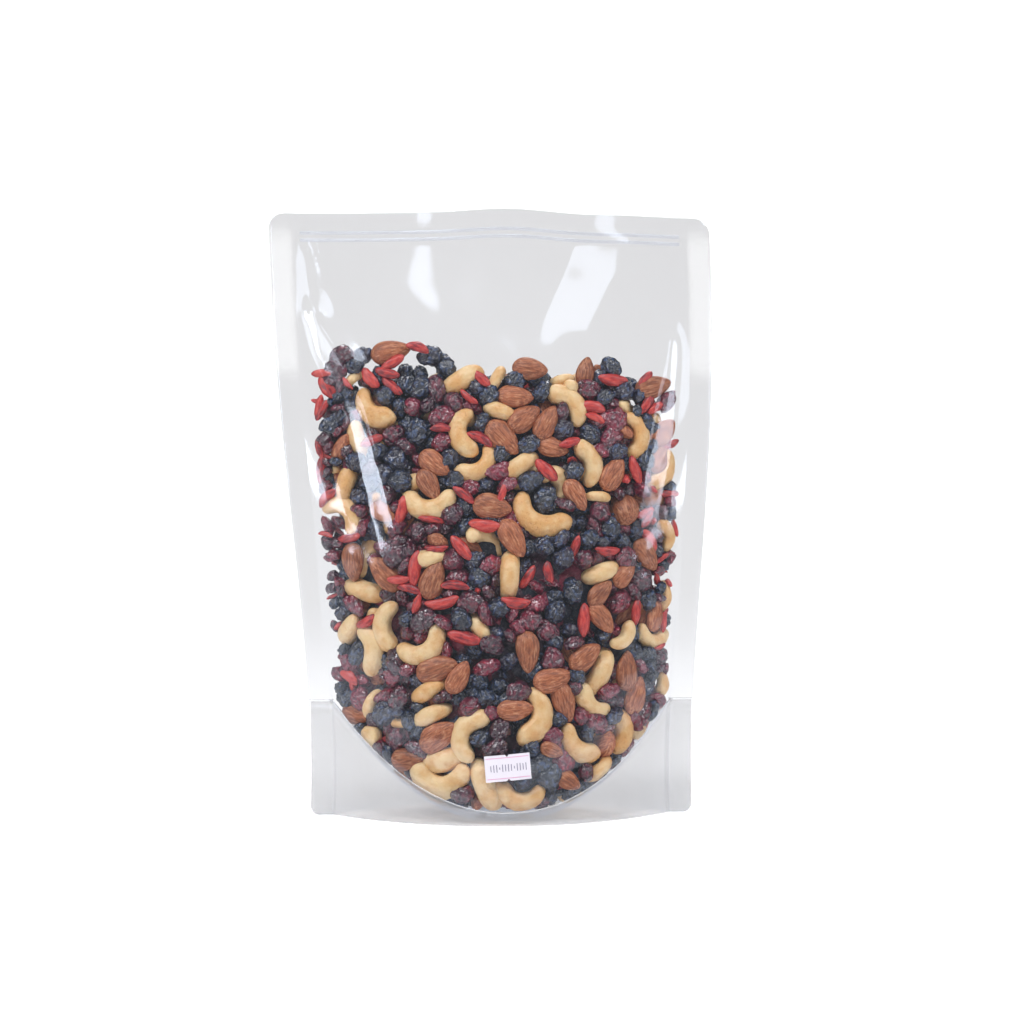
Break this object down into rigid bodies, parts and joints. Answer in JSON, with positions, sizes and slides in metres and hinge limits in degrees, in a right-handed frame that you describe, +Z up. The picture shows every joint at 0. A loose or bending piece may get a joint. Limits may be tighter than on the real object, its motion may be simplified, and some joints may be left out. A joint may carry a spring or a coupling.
{
  "type": "stand-up pouch of trail mix",
  "caption": "Clear heat-sealed stand-up pouch with a zip, filled with nuts, raisins, dried cranberries and goji berries, with a small date label on its front.",
  "frame": {"origin": "bottom centre of the pouch's box, on the surface it stands on", "axes": "+Z up from the base to the sealed top, -Y out of the front, which has the label, +X to the right seen from the front"},
  "size_m": [0.2115, 0.0912, 0.2886],
  "materials": {
    "film": "clear, glossy",
    "label_paper": "matt"
  },
  "bodies": {
    "root": {"pouch": "film", "date_label": "label_paper"}
  },
  "joints": []
}
